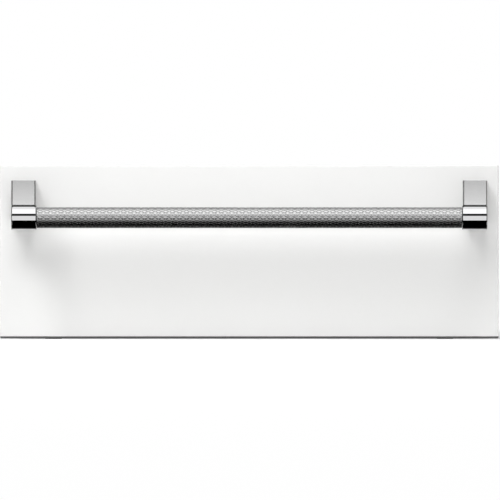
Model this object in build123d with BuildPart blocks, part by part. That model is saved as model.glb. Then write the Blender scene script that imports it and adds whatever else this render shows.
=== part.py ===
from build123d import *
import os

os.makedirs("parts", exist_ok=True)

# Built-in warming drawer, 30 inch class, closed. Millimetres, +X right, +Y into the cabinet, +Z up.
# The origin is on the floor under the middle of the whole drawer, handle included.

# ---- drawer front and handle
front_width = 758.8
front_height = 263.5
front_depth = 22.0
front_sheet = 1.2
front_edge_radius = 1.8
front_lip = 12.0
front_floor_gap = 1.0
bar_diameter = 31.75
bar_axis_drop = 79.8  # from the top of the front down to the bar's axis
bar_standoff = 60.0  # from the face of the front out to the bar's axis
bar_spigot = 22.0
bar_spigot_length = 12.0
bar_bore = 16.0
cap_diameter = 38.1
cap_length = 38.0
cap_chamfer = 1.2
handle_inset = 18.3  # from the side of the front in to the cap's outer end
post_width = 36.5
post_top_drop = 23.5  # from the top of the front down to the top of the post
post_below_axis = 8.0
post_chamfer = 1.8
seat_clearance = 0.3
backing_height = 78.0
backing_thickness = 3.0
backing_corner = 3.0
backing_play = 1.0
bolt_diameter = 6.0
bolt_head_diameter = 10.0
bolt_head_height = 6.0
bolt_engagement = 12.0
post_screw_diameter = 5.0
post_screw_drop = 14.0  # from the top of the post down to its upper screw
post_screw_grip = 12.0

# ---- chassis
foot_height = 14.0
foot_diameter = 28.0
foot_inset = 60.0
foot_grip = 4.5  # rubber between a foot's screw head and the base pan
chassis_width = 718.0
chassis_height = 235.0
sheet = 1.2
flange = 15.0
frame_sheet = 1.5
frame_reveal = 2.0  # the front covers the frame by this much all round
seal_gap = 3.0
seal_width = 5.0
seal_margin = 0.6
seal_clearance = 0.3
liner_sheet = 1.0
floor_insulation = 18.0
side_insulation = 18.0
roof_insulation = 16.0
cavity_height = 171.0
bay_depth = 52.0
cavity_rear_gap = 29.7  # from the closed drawer's back rail to the cavity's rear wall
pad_clearance = 0.3
rivet_gap = 1.6
cabinet_hole = 5.0
cabinet_hole_span = 736.4
cabinet_hole_rise = 150.0
cabinet_hole_low = 60.0

# ---- fasteners
screw_diameter = 4.0
screw_head_diameter = 8.0
screw_head_height = 2.2
screw_length = 8.0
hole_clearance = 0.1
rivet_diameter = 4.0
rivet_head_diameter = 7.0
rivet_head_height = 1.1

# ---- telescopic slides
slide_height = 45.7
slide_thickness = 12.7
slide_length = 480.0
slide_axis_height = 120.0
slide_front_gap = 8.0
slide_sheet = 1.4
slide_flange = 2.6
slide_web_gap = 1.3
slide_lip_gap = 1.6
ball_diameter = 4.0
ball_clearance = 0.06
ball_groove = 0.8
ball_pitch = 32.0
balls_per_row = 6
cage_sheet = 0.7
cage_length = 200.0
slide_rivet_inset = 40.0

# ---- drawer
rail_sheet = 1.5
rail_bottom = 72.0
rail_lip = 11.5
rail_front_flange = 20.0
back_rail_height = 30.0
tub_sheet = 1.0
tub_rim_height = 186.0
tub_depth = 126.0
tub_length = 470.0
tub_front_gap = 9.0
tub_flange = 10.0
tub_corner = 30.0
tub_bottom_radius = 14.0
tub_slope = 0.05  # how far each wall leans in, per millimetre down
tub_clearance = 0.6
rack_lift = 14.0
rack_margin = 22.0
rack_frame_wire = 5.0
rack_bar = 4.0
rack_wire = 3.0
rack_wires = 18
rack_leg_inset = 60.0
vent_width = 8.0
vent_height = 8.0
vent_pitch = 20.0
vent_count = 5
vent_travel = 10.0
vent_centre_height = 197.0
vent_plate_width = 160.0
vent_plate_height = 13.0
vent_plate_sheet = 1.2
vent_tab_width = 14.0
vent_tab_reach = 9.0
vent_play = 0.3
vent_pin_spread = 124.0
outlet_width = 40.0
outlet_depth = 4.0
outlet_pitch = 60.0
outlet_count = 5

# ---- heating and controls
element_diameter = 6.5
element_lift = 12.0
element_pitch = 80.0
element_bend = 34.0
element_front_inset = 50.0
element_rear_inset = 60.0
element_tail = 8.0
terminal_diameter = 3.0
terminal_length = 8.0
bracket_sheet = 1.2
bracket_margin = 20.0
bracket_front_inset = 200.0
bracket_rear_inset = 140.0
element_plate_width = 96.0
element_plate_height = 18.0
element_plate_sheet = 1.5
element_plate_corner = 3.0
sensor_diameter = 6.0
sensor_reach = 15.0
sensor_nut = 13.0
sensor_nut_height = 5.0
sensor_spread = 150.0
sensor_height = 150.0
cutout_diameter = 17.0
cutout_height = 9.0
cutout_ear = 32.0
cutout_ear_height = 12.0
control_width = 300.0
control_height = 18.0
control_centre_height = 222.0
control_depth = 36.0
control_wall = 1.5
fascia_rim = 1.5
fascia_proud = 0.8
fascia_thickness = 3.0
display_width = 60.0
display_height = 13.0
display_play = 0.2
button_width = 14.0
button_height = 10.0
button_play = 0.3
button_proud = 1.2
button_travel = 1.0
button_collar = 1.2
button_stem = 5.0
button_stem_length = 4.0
button_inner = 70.0
button_outer = 110.0
switch_size = 6.0
switch_height = 3.5
board_thickness = 1.6
board_margin = 4.0
board_standoff = 8.0
power_board_width = 130.0
power_board_height = 80.0
power_board_depth = 32.0
relay_size = 24.0
power_board_z = 150.0
terminal_width = 60.0
terminal_height = 22.0
terminal_depth = 20.0
terminal_poles = 4
terminal_x = -230.0
terminal_z = 90.0
gland_x = -290.0
gland_z = 60.0
gland_bore = 9.0
gland_neck = 16.0
gland_rim = 24.0
gland_flange = 3.0
louvre_length = 34.0
louvre_height = 3.0
louvre_pitch_x = 46.0
louvre_pitch_z = 9.0
louvre_columns = 6
louvre_rows = 5
louvre_x = 120.0
louvre_z = 120.0
loom_diameter = 7.0
loom_bend = 18.0
loom_play = 1.0
loom_depth = 24.0  # from the bay's front wall back to the loom's axis
loom_x = -50.0
lead_diameter = 3.0
lead_bend = 6.0
supply_lead_z = 130.0

# ---- planes and levels worked out from the sizes above
handle_reach = bar_standoff + cap_diameter / 2
tray_length = tub_front_gap + tub_length + tub_flange + tub_clearance + rail_sheet
chassis_depth = tray_length + cavity_rear_gap + liner_sheet + bay_depth + sheet
overall_depth = handle_reach + front_depth + seal_gap + chassis_depth + gland_flange
y_face = handle_reach - overall_depth / 2
y_front_back = y_face + front_depth
y_frame = y_front_back + seal_gap
y_chassis = y_frame + frame_sheet
y_rear = y_frame + chassis_depth
y_bay = y_rear - sheet - bay_depth - liner_sheet
y_bay_front = y_bay + liner_sheet
y_bar = y_face - bar_standoff

z_front_top = front_floor_gap + front_height
z_bar = z_front_top - bar_axis_drop
z_post_top = z_front_top - post_top_drop
z_base = foot_height
z_top = z_base + chassis_height
z_floor = z_base + sheet + floor_insulation  # underside of the cavity floor
z_cavity = z_floor + liner_sheet
z_roof = z_cavity + cavity_height
z_roof_pad = z_roof + liner_sheet + pad_clearance

x_wall = chassis_width / 2
x_cavity = x_wall - sheet - side_insulation - liner_sheet
x_rail = x_cavity - slide_thickness
x_frame = front_width / 2 - frame_reveal
x_cap_outer = front_width / 2 - handle_inset
x_cap_inner = x_cap_outer - cap_length
x_post = x_cap_outer - post_width / 2

y_slide = y_frame + slide_front_gap
y_tub = y_frame + tub_front_gap
y_tub_back = y_tub + tub_length
y_rail_end = y_frame + tray_length
x_tub = x_rail - rail_lip - tub_clearance
z_rail_top = tub_rim_height - tub_sheet
z_tub_floor = tub_rim_height - tub_depth
z_post_screw = z_post_top - post_screw_drop
z_backing = (z_bar + z_post_screw) / 2

MIDDLE_MIN = (Align.CENTER, Align.CENTER, Align.MIN)
MIDDLE_MAX = (Align.CENTER, Align.CENTER, Align.MAX)


def block(x0, x1, y0, y1, z0, z1, mode=Mode.ADD):
    """A straight block between two corners."""
    with Locations(((x0 + x1) / 2, (y0 + y1) / 2, (z0 + z1) / 2)):
        Box(x1 - x0, y1 - y0, z1 - z0, mode=mode)


def front_view(y):
    """A sketch plane at depth y, with X to the right and Z up. It faces the front."""
    return Plane.XZ.offset(-y)


def facing(x, y, z, direction):
    """A plane at a point, looking out along a direction."""
    return Plane(origin=(x, y, z), z_dir=direction)


def drill(places, diameter, depth):
    """Round holes that run from each place against its direction."""
    with Locations(*places):
        Cylinder(diameter / 2, depth, align=MIDDLE_MAX, mode=Mode.SUBTRACT)


def save(part, name):
    part.part.label = name
    export_step(part.part, f"parts/{name}.step")


FRONT = (0, -1, 0)
REAR = (0, 1, 0)
hole = screw_diameter + 2 * hole_clearance

# ---- screws: one pan head form, placed wherever a sheet is fixed

with BuildPart() as pan_screw:
    Cylinder(screw_head_diameter / 2, screw_head_height, align=MIDDLE_MIN)
    fillet(pan_screw.edges().sort_by(Axis.Z)[-1], screw_head_height * 0.6)
    Cylinder(screw_diameter / 2, screw_length, align=MIDDLE_MAX)
    with BuildSketch(Plane.XY.offset(screw_head_height)):
        Rectangle(screw_head_diameter * 0.55, screw_head_height * 0.35)
        Rectangle(screw_head_height * 0.35, screw_head_diameter * 0.55)
    extrude(amount=-screw_head_height / 2, mode=Mode.SUBTRACT)

flange_low = z_base + sheet + flange / 2
flange_high = z_top - sheet - flange / 2
side_screw_ys = [y_chassis + chassis_depth * share for share in (0.15, 0.5, 0.85)]
side_screws = [
    facing(side * x_wall, y, z, (side, 0, 0))
    for side in (-1, 1)
    for y in side_screw_ys
    for z in (flange_low, flange_high)
]
rear_screws = [
    facing(x, y_rear, z, REAR)
    for x in (-chassis_width * 0.4, 0, chassis_width * 0.4)
    for z in (flange_low, flange_high)
]
frame_screws = [
    facing(x, y_frame, z, FRONT)
    for x in (-chassis_width * 0.36, chassis_width * 0.36)
    for z in (flange_low, flange_high)
]

foot_places = [
    (x, y)
    for x in (-x_wall + foot_inset, x_wall - foot_inset)
    for y in (y_chassis + foot_inset, y_rear - foot_inset)
]
foot_screw_seat = foot_height - foot_grip
foot_screws = [facing(x, y, foot_screw_seat, (0, 0, -1)) for x, y in foot_places]

with BuildPart() as chassis_screws:
    with Locations(*side_screws, *rear_screws, *frame_screws, *foot_screws):
        add(pan_screw.part)
save(chassis_screws, "chassis_screws")

# ---- feet: round rubber pads under the base pan, each on a screw

with BuildPart() as feet:
    with BuildSketch() as pads:
        with Locations(*foot_places):
            Circle(foot_diameter / 2)
    extrude(amount=foot_height)
    chamfer(feet.edges().group_by(Axis.Z)[0], foot_height / 8)
    with BuildSketch() as seats:
        with Locations(*foot_places):
            Circle(screw_head_diameter / 2 + 1)
    extrude(amount=foot_screw_seat, mode=Mode.SUBTRACT)
    with BuildSketch() as bores:
        with Locations(*foot_places):
            Circle(hole / 2)
    extrude(amount=foot_height, mode=Mode.SUBTRACT)
save(feet, "feet")

# ---- base pan: a folded tray that carries everything

x_tray = x_wall - sheet
y_tray = y_rear - sheet

with BuildPart() as base_pan:
    block(-x_tray, x_tray, y_chassis, y_tray, z_base, z_base + sheet + flange)
    block(
        -x_tray + sheet,
        x_tray - sheet,
        y_chassis + sheet,
        y_tray - sheet,
        z_base + sheet,
        z_base + sheet + flange,
        mode=Mode.SUBTRACT,
    )
    drill(side_screws + rear_screws + frame_screws + foot_screws, hole, screw_length)
save(base_pan, "base_pan")

# ---- top cover: the same tray turned over

with BuildPart() as top_cover:
    block(-x_tray, x_tray, y_chassis, y_tray, z_top - sheet - flange, z_top)
    block(
        -x_tray + sheet,
        x_tray - sheet,
        y_chassis + sheet,
        y_tray - sheet,
        z_top - sheet - flange,
        z_top - sheet,
        mode=Mode.SUBTRACT,
    )
    drill(side_screws + rear_screws + frame_screws, hole, screw_length)
save(top_cover, "top_cover")

# ---- side panels, rear cover and front frame

with BuildPart() as side_panel_right:
    block(x_tray, x_wall, y_chassis, y_tray, z_base, z_top)
    drill(side_screws, hole, screw_length)
save(side_panel_right, "side_panel_right")

with BuildPart() as side_panel_left:
    mirror(side_panel_right.part, about=Plane.YZ)
save(side_panel_left, "side_panel_left")

with BuildPart() as rear_cover:
    block(-x_wall, x_wall, y_tray, y_rear, z_base, z_top)
    drill(rear_screws, hole, screw_length)
    drill([facing(gland_x, y_rear, gland_z, REAR)], gland_neck, screw_length)
    with BuildSketch(front_view(y_rear)):
        with Locations((louvre_x, louvre_z)):
            with GridLocations(louvre_pitch_x, louvre_pitch_z, louvre_columns, louvre_rows):
                SlotOverall(louvre_length, louvre_height)
    extrude(amount=sheet, mode=Mode.SUBTRACT)
save(rear_cover, "rear_cover")

z_frame_low = front_floor_gap + frame_reveal
z_frame_high = z_front_top - frame_reveal
cabinet_holes = [
    facing(x, y_frame, z, FRONT)
    for x in (-cabinet_hole_span / 2, cabinet_hole_span / 2)
    for z in (cabinet_hole_low, cabinet_hole_low + cabinet_hole_rise)
]
z_control_low = control_centre_height - control_height / 2
z_control_high = control_centre_height + control_height / 2

with BuildPart() as front_frame:
    block(-x_frame, x_frame, y_frame, y_chassis, z_frame_low, z_frame_high)
    fillet(front_frame.edges().filter_by(Axis.Y), frame_reveal)
    block(-x_cavity, x_cavity, y_frame, y_chassis, z_cavity, z_roof, mode=Mode.SUBTRACT)
    block(
        -control_width / 2,
        control_width / 2,
        y_frame,
        y_chassis,
        z_control_low,
        z_control_high,
        mode=Mode.SUBTRACT,
    )
    drill(frame_screws, hole, frame_sheet)
    drill(cabinet_holes, cabinet_hole, frame_sheet)
save(front_frame, "front_frame")

# ---- cavity liner: five sheets that enclose the heated space

x_liner = x_cavity + liner_sheet
slide_rivet_ys = [
    y_slide + slide_rivet_inset,
    y_slide + slide_length / 2,
    y_slide + slide_length - slide_rivet_inset,
]
chassis_rivets = [facing(x_cavity, y, slide_axis_height, (1, 0, 0)) for y in slide_rivet_ys]
rivet_hole = rivet_diameter + 2 * hole_clearance

with BuildPart() as liner_floor:
    block(-x_liner, x_liner, y_chassis, y_bay, z_floor, z_cavity)
save(liner_floor, "liner_floor")

with BuildPart() as liner_right:
    block(x_cavity, x_liner, y_chassis, y_bay, z_cavity, z_roof)
    with Locations(*chassis_rivets):
        Cylinder(rivet_hole / 2, 2 * liner_sheet, mode=Mode.SUBTRACT)
save(liner_right, "liner_right")

with BuildPart() as liner_left:
    mirror(liner_right.part, about=Plane.YZ)
save(liner_left, "liner_left")

with BuildPart() as liner_roof:
    block(-x_liner, x_liner, y_chassis, y_bay, z_roof, z_roof + liner_sheet)
save(liner_roof, "liner_roof")

z_element = z_cavity + element_lift
element_xs = [element_pitch * step for step in (-2.5, -1.5, -0.5, 0.5, 1.5, 2.5)]
tail_x = element_pitch / 2
z_loom = z_control_high - 0.65 * loom_diameter
x_divider = x_tray - sheet - pad_clearance

with BuildPart() as liner_rear:
    block(
        -x_divider,
        x_divider,
        y_bay,
        y_bay_front,
        z_base + sheet + pad_clearance,
        z_top - sheet - pad_clearance,
    )
    with BuildSketch(front_view(y_bay)):
        with Locations((-tail_x, z_element), (tail_x, z_element)):
            Circle(element_diameter / 2 + hole_clearance)
        with Locations((sensor_spread, sensor_height)):
            Circle(sensor_diameter / 2 + hole_clearance)
        with Locations((loom_x, z_loom)):
            Rectangle(loom_diameter + 2 * loom_play, loom_diameter + 2 * loom_play)
    extrude(amount=-liner_sheet, mode=Mode.SUBTRACT)
save(liner_rear, "liner_rear")

# ---- insulation: a flat pad under the cavity and a blanket over its sides and roof

pad_front = y_chassis + screw_length + pad_clearance
x_floor_pad = x_wall - screw_length - pad_clearance
x_blanket = x_tray - sheet - pad_clearance
y_roof_pad = y_chassis + control_depth + control_wall + pad_clearance

with BuildPart() as floor_pad:
    block(
        -x_floor_pad,
        x_floor_pad,
        pad_front,
        y_bay - pad_clearance,
        z_base + sheet + pad_clearance,
        z_floor - pad_clearance,
    )
    with BuildSketch(Plane.XY.offset(z_base)):
        with Locations(*foot_places):
            Circle(screw_diameter)
    extrude(amount=sheet + floor_insulation, mode=Mode.SUBTRACT)

with BuildPart() as insulation_blankets:
    with BuildSketch(front_view(y_chassis + pad_clearance)):
        with Locations((0, (z_floor + z_roof_pad + roof_insulation) / 2)):
            Rectangle(2 * x_blanket, z_roof_pad + roof_insulation - z_floor)
        with Locations((0, (z_floor + z_roof_pad) / 2)):
            Rectangle(2 * (x_liner + rivet_gap), z_roof_pad - z_floor, mode=Mode.SUBTRACT)
    extrude(amount=-(y_bay - y_chassis - 2 * pad_clearance))
    block(
        -x_cavity,
        x_cavity,
        y_chassis,
        y_roof_pad,
        z_roof_pad,
        z_roof_pad + roof_insulation,
        mode=Mode.SUBTRACT,
    )
    fillet(insulation_blankets.edges().filter_by(Axis.Y).sort_by(Axis.Z)[-2:], side_insulation / 3)
    add(floor_pad.part)
save(insulation_blankets, "insulation_blankets")

# ---- heating element: one sheathed rod bent to and fro over the cavity floor

y_element_front = y_chassis + element_front_inset
y_element_turn = y_element_front + element_pitch
y_element_rear = y_bay - element_rear_inset
y_element_end = y_bay_front + element_tail
half_route = [
    (tail_x, y_element_end),
    (tail_x, y_element_turn),
    (tail_x + element_pitch, y_element_turn),
    (tail_x + element_pitch, y_element_rear),
    (tail_x + 2 * element_pitch, y_element_rear),
    (tail_x + 2 * element_pitch, y_element_front),
]
element_route = half_route + [(-x, y) for x, y in reversed(half_route)]

with BuildPart() as heating_element:
    with BuildLine(Plane.XY.offset(z_element)) as element_line:
        FilletPolyline(*element_route, radius=element_bend)
    with BuildSketch(facing(tail_x, y_element_end, z_element, REAR)):
        Circle(element_diameter / 2)
    sweep()
    with Locations(*[facing(x, y_element_end, z_element, REAR) for x in (-tail_x, tail_x)]):
        Cylinder(terminal_diameter / 2, terminal_length, align=MIDDLE_MIN)
save(heating_element, "heating_element")

with BuildPart() as element_brackets:
    for y in (y_chassis + bracket_front_inset, y_bay - bracket_rear_inset):
        with BuildSketch(front_view(y)):
            with Locations((0, (z_cavity + z_element) / 2)):
                Rectangle(2 * (tail_x + 2 * element_pitch + bracket_margin), element_lift)
            with Locations(*[(x, z_element) for x in element_xs]):
                Circle(element_diameter / 2 + hole_clearance, mode=Mode.SUBTRACT)
        extrude(amount=-bracket_sheet)
    with BuildSketch(front_view(y_bay_front)):
        with Locations((0, z_element)):
            RectangleRounded(
                element_plate_width + 2 * element_diameter,
                element_plate_height,
                element_plate_corner,
            )
        with Locations((-tail_x, z_element), (tail_x, z_element)):
            Circle(element_diameter / 2 + hole_clearance, mode=Mode.SUBTRACT)
    extrude(amount=-element_plate_sheet)
save(element_brackets, "element_brackets")

# ---- temperature sensor and thermal cut-out on the rear wall of the cavity

with BuildPart() as temperature_sensor:
    with BuildSketch(front_view(y_bay_front)):
        with Locations((sensor_spread, sensor_height)):
            RegularPolygon(sensor_nut / 2, 6)
    extrude(amount=-sensor_nut_height)
    with BuildSketch(front_view(y_bay_front + sensor_nut_height)):
        with Locations((sensor_spread, sensor_height)):
            Circle(sensor_diameter / 2)
    extrude(amount=sensor_reach + sensor_nut_height)
    fillet(temperature_sensor.edges().sort_by(Axis.Y)[0], sensor_diameter / 3)
save(temperature_sensor, "temperature_sensor")

with BuildPart() as thermal_cutout:
    with BuildSketch(front_view(y_bay_front)):
        with Locations((-sensor_spread, sensor_height)):
            SlotOverall(cutout_ear, cutout_ear_height)
    extrude(amount=-element_plate_sheet)
    with BuildSketch(front_view(y_bay_front)):
        with Locations((-sensor_spread, sensor_height)):
            Circle(cutout_diameter / 2)
    extrude(amount=-cutout_height)
    with BuildSketch(front_view(y_bay_front + cutout_height)):
        with Locations((-sensor_spread, sensor_height)):
            with GridLocations(cutout_diameter / 2, 0, 2, 1):
                Rectangle(1, terminal_diameter * 2)
    extrude(amount=-terminal_length)
save(thermal_cutout, "thermal_cutout")

# ---- power board, terminal block and supply gland in the rear bay

y_board_back = y_bay_front + board_standoff + board_thickness
y_connector = y_bay_front + power_board_depth
x_board = power_board_width / 2
z_board_low = power_board_z - power_board_height / 2
z_board_high = power_board_z + power_board_height / 2
connector = 2 * loom_diameter

with BuildPart() as power_board:
    block(-x_board, x_board, y_bay_front + board_standoff, y_board_back, z_board_low, z_board_high)
    with BuildSketch(front_view(y_bay_front)):
        with Locations((0, power_board_z)):
            with GridLocations(power_board_width - connector, power_board_height - connector, 2, 2):
                Circle(screw_diameter / 2)
    extrude(amount=-board_standoff)
    block(loom_x - loom_diameter, loom_x + loom_diameter, y_board_back, y_connector,
          z_board_high - connector, z_board_high)
    block(-x_board, -x_board + connector, y_board_back, y_connector,
          supply_lead_z - loom_diameter, supply_lead_z + loom_diameter)
    block(-x_board, -x_board + connector, y_board_back, y_connector,
          sensor_height - lead_diameter, sensor_height + lead_diameter)
    block(x_board - connector, x_board, y_board_back, y_connector,
          sensor_height - lead_diameter, sensor_height + lead_diameter)
    for x in (-tail_x, tail_x):
        block(x - lead_diameter, x + lead_diameter, y_board_back, y_connector,
              z_board_low, z_board_low + connector)
    block(-relay_size / 2, relay_size / 2, y_board_back, y_connector - connector / 4,
          power_board_z - relay_size / 2, power_board_z + relay_size / 2)
    block(relay_size, relay_size * 1.8, y_board_back, y_connector - connector / 2,
          power_board_z - relay_size / 2, power_board_z + relay_size / 2)
save(power_board, "power_board")

x_terminal = terminal_x + terminal_width / 2

with BuildPart() as terminal_block:
    block(
        terminal_x - terminal_width / 2,
        x_terminal,
        y_bay_front,
        y_bay_front + terminal_depth,
        terminal_z - terminal_height / 2,
        terminal_z + terminal_height / 2,
    )
    fillet(terminal_block.edges().filter_by(Axis.Y), terminal_height / 12)
    with BuildSketch(front_view(y_bay_front + terminal_depth)):
        with Locations((terminal_x, terminal_z)):
            with GridLocations(terminal_width / terminal_poles, 0, terminal_poles, 1):
                Circle(terminal_height / 6)
    extrude(amount=-terminal_depth / 3, mode=Mode.SUBTRACT)
save(terminal_block, "terminal_block")

gland_lock = gland_neck + 2 * gland_flange

with BuildPart() as supply_gland:
    with BuildSketch(front_view(y_rear)) as outer_rim:
        with Locations((gland_x, gland_z)):
            Circle(gland_rim / 2)
    extrude(amount=-gland_flange)
    fillet(supply_gland.edges().sort_by(Axis.Y)[-1], gland_flange / 3)
    with BuildSketch(front_view(y_rear)) as neck:
        with Locations((gland_x, gland_z)):
            Circle(gland_neck / 2 - hole_clearance)
    extrude(amount=sheet)
    with BuildSketch(front_view(y_tray)) as inner_rim:
        with Locations((gland_x, gland_z)):
            Circle(gland_lock / 2)
    extrude(amount=gland_flange)
    with BuildSketch(front_view(y_tray - gland_flange)) as bore:
        with Locations((gland_x, gland_z)):
            Circle(gland_bore / 2)
    extrude(amount=-(sheet + 2 * gland_flange), mode=Mode.SUBTRACT)
save(supply_gland, "supply_gland")

# ---- controls: a strip in the top rail of the frame, behind the closed drawer front

x_control = control_width / 2
y_housing = y_chassis + control_depth
y_fascia = y_frame - fascia_proud
y_fascia_back = y_fascia + fascia_thickness
y_collar = y_fascia_back + button_play
y_stem = y_collar + button_collar + button_stem_length
y_board = y_stem + button_travel + button_play + switch_height
button_xs = [-button_outer, -button_inner, button_inner, button_outer]

with BuildPart() as control_housing:
    block(-x_control - control_wall, x_control + control_wall, y_chassis, y_housing,
          z_control_low - control_wall, z_control_high + control_wall)
    fillet(control_housing.edges().filter_by(Axis.Y), control_wall)
    block(-x_control, x_control, y_chassis, y_housing - control_wall,
          z_control_low, z_control_high, mode=Mode.SUBTRACT)
    drill([facing(loom_x, y_housing, z_loom, REAR)], loom_diameter + 2 * pad_clearance, 2 * control_wall)
save(control_housing, "control_housing")

with BuildPart() as control_fascia:
    block(-x_control - fascia_rim, x_control + fascia_rim, y_fascia, y_frame,
          z_control_low - fascia_rim, z_control_high + fascia_rim)
    fillet(control_fascia.edges().filter_by(Axis.Y), fascia_rim)
    block(-x_control + display_play, x_control - display_play, y_frame, y_fascia_back,
          z_control_low + display_play, z_control_high - display_play)
    with BuildSketch(front_view(y_fascia)):
        with Locations((0, control_centre_height)):
            RectangleRounded(display_width, display_height, display_height / 8)
        with Locations(*[(x, control_centre_height) for x in button_xs]):
            RectangleRounded(
                button_width + 2 * button_play, button_height + 2 * button_play, button_height / 4
            )
    extrude(amount=-fascia_thickness, mode=Mode.SUBTRACT)
save(control_fascia, "control_fascia")

with BuildPart() as display_window:
    with BuildSketch(front_view(y_fascia + display_play)):
        with Locations((0, control_centre_height)):
            RectangleRounded(
                display_width - 2 * display_play, display_height - 2 * display_play, display_height / 8
            )
    extrude(amount=-(fascia_thickness - display_play))
save(display_window, "display_window")

for name, x in zip(("button_power", "button_cooler", "button_warmer", "button_timer"), button_xs):
    with BuildPart() as button:
        with BuildSketch(front_view(y_fascia - button_proud)):
            with Locations((x, control_centre_height)):
                RectangleRounded(button_width, button_height, button_height / 4 - button_play)
        extrude(amount=-(y_collar - y_fascia + button_proud))
        chamfer(button.edges().group_by(Axis.Y)[0], button_proud / 3)
        with BuildSketch(front_view(y_collar)):
            with Locations((x, control_centre_height)):
                Rectangle(button_width + 2 * button_collar, button_height + 2 * button_collar)
        extrude(amount=-button_collar)
        with BuildSketch(front_view(y_collar + button_collar)):
            with Locations((x, control_centre_height)):
                Circle(button_stem / 2)
        extrude(amount=-button_stem_length)
    save(button, name)

with BuildPart() as control_board:
    block(-x_control + board_margin, x_control - board_margin, y_board, y_board + board_thickness,
          z_control_low, z_control_high)
    for x in button_xs:
        block(x - switch_size / 2, x + switch_size / 2, y_board - switch_height, y_board,
              control_centre_height - switch_size / 2, control_centre_height + switch_size / 2)
    block(-display_width / 2 + display_play, display_width / 2 - display_play,
          y_fascia_back + button_play, y_board,
          control_centre_height - display_height / 2, control_centre_height + display_height / 2)
    block(loom_x - loom_diameter, loom_x + loom_diameter, y_board + board_thickness,
          y_board + board_thickness + connector / 2, z_control_high - loom_diameter, z_control_high)
save(control_board, "control_board")

# ---- wiring loom: the inner cables, each from connector to connector

y_loom = y_bay_front + loom_depth
y_lead = y_bay_front + 0.7 * terminal_depth
y_pin = y_element_end + terminal_length
supply_corner_x = (x_terminal - x_board) / 2
y_blade = y_bay_front + cutout_height + terminal_length
loom_runs = [
    (
        loom_diameter,
        loom_bend,
        [
            (loom_x, y_board + board_thickness + connector / 2, z_loom),
            (loom_x, y_loom, z_loom),
            (loom_x, y_loom, z_board_high),
        ],
    ),
    (
        loom_diameter,
        loom_bend,
        [
            (x_terminal, y_lead, terminal_z),
            (supply_corner_x, y_lead, terminal_z),
            (supply_corner_x, y_lead, supply_lead_z),
            (-x_board, y_lead, supply_lead_z),
        ],
    ),
    (
        lead_diameter,
        lead_bend,
        [(-tail_x, y_pin, z_element), (-tail_x, y_loom, z_element), (-tail_x, y_loom, z_board_low)],
    ),
    (
        lead_diameter,
        lead_bend,
        [(tail_x, y_pin, z_element), (tail_x, y_loom, z_element), (tail_x, y_loom, z_board_low)],
    ),
    (
        lead_diameter,
        lead_bend,
        [
            (sensor_spread, y_bay_front + sensor_nut_height, sensor_height),
            (sensor_spread, y_lead, sensor_height),
            (x_board, y_lead, sensor_height),
        ],
    ),
]
for side, depth in ((1, y_loom), (-1, y_loom + 1.5 * lead_diameter)):
    x_blade = -sensor_spread + side * cutout_diameter / 4
    cutout_route = [
        (x_blade, y_blade, sensor_height),
        (x_blade, depth, sensor_height),
        (-x_board, depth, sensor_height),
    ]
    loom_runs.append((lead_diameter, lead_bend, cutout_route))

with BuildPart() as wiring_loom:
    for diameter, bend, route in loom_runs:
        with BuildLine() as run:
            FilletPolyline(*route, radius=bend)
        with BuildSketch(Plane(origin=run.line @ 0, z_dir=run.line % 0)):
            Circle(diameter / 2)
        sweep()
save(wiring_loom, "wiring_loom")

# ---- telescopic slides: three nested members a side, with two rows of balls between each pair


def slide_x(depth):
    """The X of a point this deep in the right slide, counted from the cavity wall."""
    return x_cavity - depth


ball_seat = ball_diameter / 2 + ball_clearance
lip_depth = slide_thickness - slide_lip_gap
middle_web = slide_sheet + slide_web_gap
inner_flange_depth = middle_web + slide_sheet + slide_web_gap
outer_half = slide_height / 2
outer_ball_z = outer_half - slide_flange + ball_groove - ball_seat
middle_half = outer_ball_z - ball_seat + ball_groove
inner_ball_z = middle_half - slide_flange + ball_groove - ball_seat
inner_half = inner_ball_z - ball_seat + ball_groove
outer_ball_x = slide_x((middle_web + slide_sheet + lip_depth) / 2)
inner_ball_x = slide_x((inner_flange_depth + lip_depth) / 2)
outer_cage_depth = slide_sheet + (slide_web_gap - cage_sheet) / 2
inner_cage_depth = middle_web + slide_sheet + (slide_web_gap - cage_sheet) / 2
y_cage = y_slide + (slide_length - cage_length) / 2


def member(half, near, far, web_near, grooves):
    """The C section of one right-hand member: near and far are its depths from the wall."""
    middle = ((slide_x(near) + slide_x(far)) / 2, slide_axis_height)
    with Locations(middle):
        Rectangle(far - near, 2 * half)
    pocket_near = near + slide_sheet if web_near else near
    pocket_far = far if web_near else far - slide_sheet
    with Locations(((slide_x(pocket_near) + slide_x(pocket_far)) / 2, slide_axis_height)):
        Rectangle(pocket_far - pocket_near, 2 * (half - slide_flange), mode=Mode.SUBTRACT)
    for x, z in grooves:
        with Locations((x, slide_axis_height - z), (x, slide_axis_height + z)):
            Circle(ball_seat, mode=Mode.SUBTRACT)


def countersunk(places, head_out):
    """Flush rivets: a cone in the slide's web, a shank and a formed head behind the sheet."""
    with Locations(*places):
        Cylinder(rivet_diameter / 2, head_out, align=MIDDLE_MIN)
        Cone(rivet_head_diameter / 2 - hole_clearance, rivet_diameter / 2, slide_sheet,
             align=MIDDLE_MIN)


rivet_seats = [facing(slide_x(slide_sheet), y, slide_axis_height, (1, 0, 0)) for y in slide_rivet_ys]
rail_rivet_seats = [
    facing(slide_x(slide_thickness - slide_sheet), y, slide_axis_height, (-1, 0, 0))
    for y in slide_rivet_ys
]

with BuildPart() as slide_outer_right:
    with BuildSketch(front_view(y_slide)):
        member(outer_half, 0, lip_depth, True, [(outer_ball_x, outer_ball_z)])
    extrude(amount=-slide_length)
    with Locations(*rivet_seats):
        Cone(rivet_head_diameter / 2, rivet_hole / 2, slide_sheet, align=MIDDLE_MIN, mode=Mode.SUBTRACT)
save(slide_outer_right, "slide_outer_right")

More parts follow.
